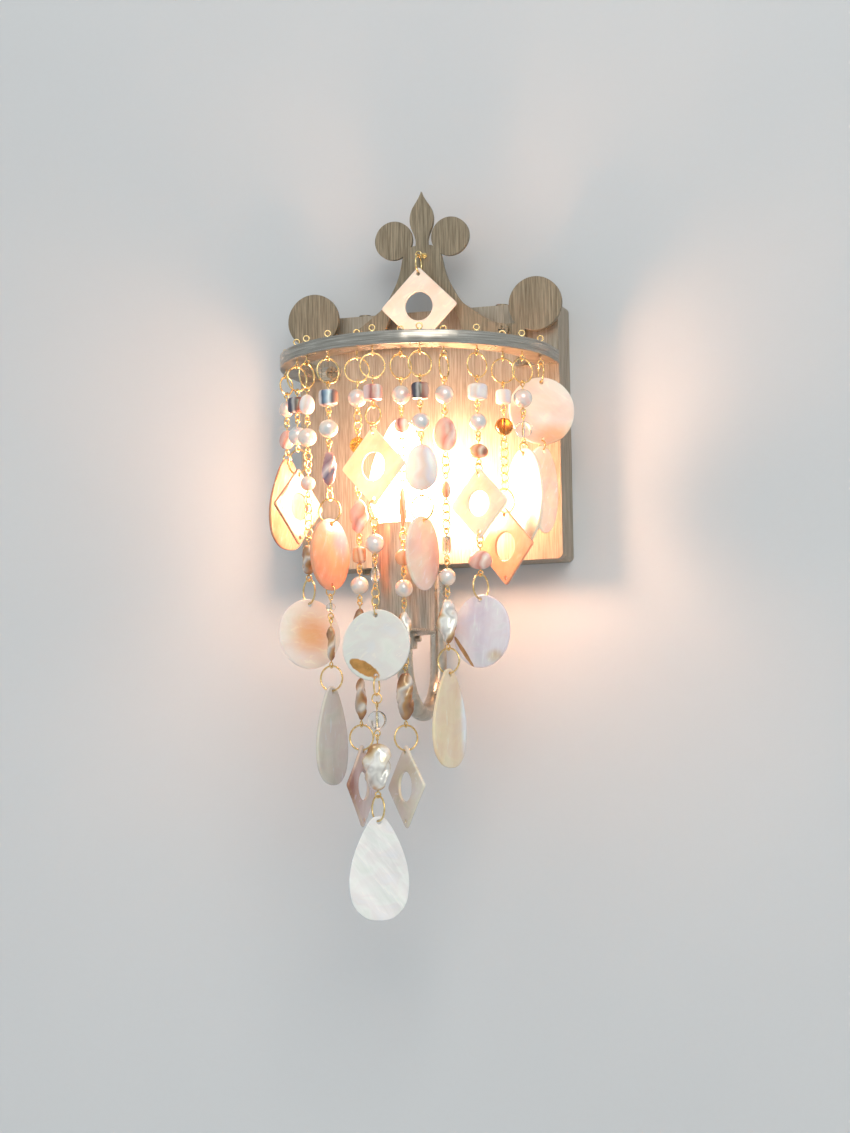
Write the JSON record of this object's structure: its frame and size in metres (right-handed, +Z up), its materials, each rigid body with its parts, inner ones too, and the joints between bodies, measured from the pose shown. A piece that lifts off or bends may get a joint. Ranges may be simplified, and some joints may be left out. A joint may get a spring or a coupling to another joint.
{
  "type": "wall sconce",
  "caption": "Wall sconce with a square back box, a cut-out crown, a half-round hoop hung with swinging strands of shell plates, pearls and wire rings, and a lamp cup on a bent arm.",
  "frame": {"origin": "middle of the back of the box, on the wall plane", "axes": "+X to the right along the wall as the viewer sees it, +Y into the wall, +Z up"},
  "size_m": [0.1668, 0.1235, 0.3991],
  "materials": {
    "champagne_plated_steel": "brushed",
    "silver_brushed_steel": "brushed",
    "gold_plated_wire": "polished",
    "zinc_screw": "satin",
    "zinc_bracket": "satin",
    "glass_pearl": "pearly",
    "shell_white": "satin",
    "holder_porcelain": "glossy",
    "contact_brass": "satin",
    "bulb_cap_metal": "satin",
    "bulb_glass": "clear",
    "filament": "glowing",
    "connector_plastic": "matte",
    "lead_sleeve": "matte"
  },
  "bodies": {
    "fixed": {"arm_nuts": "champagne_plated_steel", "arm_tube": "champagne_plated_steel", "back_box": "champagne_plated_steel", "crown_plate": "champagne_plated_steel", "crown_spacers": "champagne_plated_steel", "cup_ferrule": "champagne_plated_steel", "eye_pins": "gold_plated_wire", "fixing_screws": "zinc_screw", "holder_contacts": "contact_brass", "hoop_end_plates": "silver_brushed_steel", "hoop_tube": "silver_brushed_steel", "lamp_cup": "champagne_plated_steel", "lamp_holder": "holder_porcelain", "lamp_lead": "lead_sleeve", "terminal_block": "connector_plastic", "wall_bracket": "zinc_bracket"},
    "bulb": {"bulb_cap": "bulb_cap_metal", "bulb_filament": "filament", "bulb_glass": "bulb_glass"},
    "crown_pendant": {"pendant_plate": "shell_white", "pendant_ring": "gold_plated_wire"},
    "strand_01": {"strand_01_beads": "glass_pearl", "strand_01_plates": "shell_white", "strand_01_wires": "gold_plated_wire"},
    "strand_02": {"strand_02_beads": "glass_pearl", "strand_02_plates": "shell_white", "strand_02_wires": "gold_plated_wire"},
    "strand_03": {"strand_03_beads": "glass_pearl", "strand_03_plates": "shell_white", "strand_03_wires": "gold_plated_wire"},
    "strand_04": {"strand_04_beads": "glass_pearl", "strand_04_plates": "shell_white", "strand_04_wires": "gold_plated_wire"},
    "strand_05": {"strand_05_beads": "glass_pearl", "strand_05_plates": "shell_white", "strand_05_wires": "gold_plated_wire"},
    "strand_06": {"strand_06_beads": "glass_pearl", "strand_06_plates": "shell_white", "strand_06_wires": "gold_plated_wire"},
    "strand_07": {"strand_07_beads": "glass_pearl", "strand_07_plates": "shell_white", "strand_07_wires": "gold_plated_wire"},
    "strand_08": {"strand_08_beads": "glass_pearl", "strand_08_plates": "shell_white", "strand_08_wires": "gold_plated_wire"},
    "strand_09": {"strand_09_beads": "glass_pearl", "strand_09_plates": "shell_white", "strand_09_wires": "gold_plated_wire"},
    "strand_10": {"strand_10_beads": "glass_pearl", "strand_10_plates": "shell_white", "strand_10_wires": "gold_plated_wire"},
    "strand_11": {"strand_11_beads": "glass_pearl", "strand_11_plates": "shell_white", "strand_11_wires": "gold_plated_wire"},
    "strand_12": {"strand_12_beads": "glass_pearl", "strand_12_plates": "shell_white", "strand_12_wires": "gold_plated_wire"},
    "strand_13": {"strand_13_plates": "shell_white", "strand_13_wires": "gold_plated_wire"}
  },
  "joints": [
    {"name": "bulb_unscrew", "type": "slide", "parent": "fixed", "child": "bulb", "axis": [0, 0, 1], "range_m": [0, 0.045]},
    {"name": "crown_pendant_swing", "type": "hinge", "parent": "fixed", "child": "crown_pendant", "pos_m": [0, -0.0353, 0.0985], "axis": [-1, 0, 0], "range_deg": [-3, 40]},
    {"name": "strand_01_swing", "type": "hinge", "parent": "fixed", "child": "strand_01", "pos_m": [-0.06794, -0.06233, 0.0318], "axis": [-0.342, 0.9397, 0], "range_deg": [-5, 8]},
    {"name": "strand_02_swing", "type": "hinge", "parent": "fixed", "child": "strand_02", "pos_m": [-0.05192, -0.08791, 0.0318], "axis": [-0.6959, 0.7181, 0], "range_deg": [-5, 8]},
    {"name": "strand_03_swing", "type": "hinge", "parent": "fixed", "child": "strand_03", "pos_m": [-0.04351, -0.09534, 0.0318], "axis": [-0.7986, 0.6018, 0], "range_deg": [-5, 8]},
    {"name": "strand_04_swing", "type": "hinge", "parent": "fixed", "child": "strand_04", "pos_m": [-0.02813, -0.1042, 0.0318], "axis": [-0.9212, 0.3891, 0], "range_deg": [-5, 8]},
    {"name": "strand_05_swing", "type": "hinge", "parent": "fixed", "child": "strand_05", "pos_m": [-0.01303, -0.10108, 0.0318], "axis": [-0.9796, 0.2011, 0], "range_deg": [-5, 1]},
    {"name": "strand_06_swing", "type": "hinge", "parent": "fixed", "child": "strand_06", "pos_m": [-0.00126, -0.10989, 0.0318], "axis": [-0.9998, 0.0175, 0], "range_deg": [-1, 8]},
    {"name": "strand_07_swing", "type": "hinge", "parent": "fixed", "child": "strand_07", "pos_m": [0.01148, -0.10138, 0.0318], "axis": [-0.9842, -0.1771, 0], "range_deg": [-5, 1]},
    {"name": "strand_08_swing", "type": "hinge", "parent": "fixed", "child": "strand_08", "pos_m": [0.02354, -0.10596, 0.0318], "axis": [-0.9455, -0.3256, 0], "range_deg": [-2, 8]},
    {"name": "strand_09_swing", "type": "hinge", "parent": "fixed", "child": "strand_09", "pos_m": [0.03269, -0.09355, 0.0318], "axis": [-0.8634, -0.5045, 0], "range_deg": [-1.5, 8]},
    {"name": "strand_10_swing", "type": "hinge", "parent": "fixed", "child": "strand_10", "pos_m": [0.04977, -0.09005, 0.0318], "axis": [-0.7254, -0.6884, 0], "range_deg": [-5, 8]},
    {"name": "strand_11_swing", "type": "hinge", "parent": "fixed", "child": "strand_11", "pos_m": [0.05722, -0.06802, 0.0318], "axis": [-0.4695, -0.8829, 0], "range_deg": [-5, 2]},
    {"name": "strand_12_swing", "type": "hinge", "parent": "fixed", "child": "strand_12", "pos_m": [0.06699, -0.0648, 0.0318], "axis": [-0.3762, -0.9265, 0], "range_deg": [-2, 4]},
    {"name": "strand_13_swing", "type": "hinge", "parent": "fixed", "child": "strand_13", "pos_m": [0.07179, -0.04616, 0.0318], "axis": [-0.1184, -0.993, 0], "range_deg": [-2, 8]}
  ]
}
